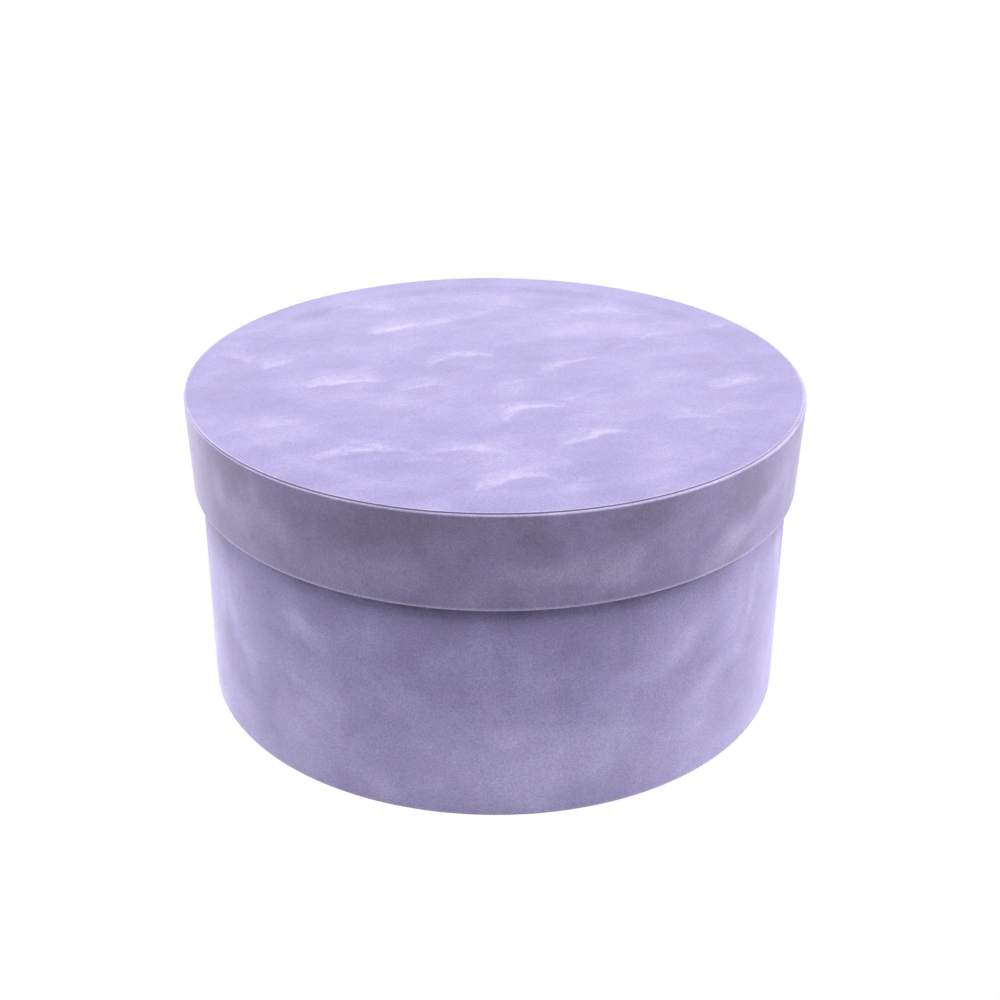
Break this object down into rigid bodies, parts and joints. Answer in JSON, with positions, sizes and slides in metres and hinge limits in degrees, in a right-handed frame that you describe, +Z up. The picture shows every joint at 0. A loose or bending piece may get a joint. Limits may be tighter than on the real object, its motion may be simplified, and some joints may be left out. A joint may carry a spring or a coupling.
{
  "type": "flower box",
  "caption": "Low round flower box: a rigid cardboard base and an overlapping lift-off lid, both covered in lilac velvet and lined with paper.",
  "frame": {"origin": "centre of the round underside, on the surface that the box stands on", "axes": "+Z up along the box's axis of symmetry; -Y is the side that faces the viewer, and the hidden seams are towards +Y"},
  "size_m": [0.2078, 0.2078, 0.1078],
  "materials": {
    "velvet": "matte",
    "board": "matte",
    "lining_paper": "matte",
    "card": "matte",
    "tape": "satin"
  },
  "bodies": {
    "base": {"base_wall_board": "board", "base_wall_tape": "tape", "base_bottom_board": "board", "base_velvet_wrap": "velvet", "base_bottom_card": "card", "base_wall_lining": "lining_paper", "base_bottom_lining": "lining_paper"},
    "lid": {"lid_rim_board": "board", "lid_rim_tape": "tape", "lid_top_board": "board", "lid_rim_wrap": "velvet", "lid_top_cover": "velvet", "lid_rim_lining": "lining_paper", "lid_top_lining": "lining_paper"}
  },
  "joints": [
    {"name": "lid_lift", "type": "slide", "parent": "base", "child": "lid", "axis": [0, 0, 1], "range_m": [0, 0.12]}
  ]
}
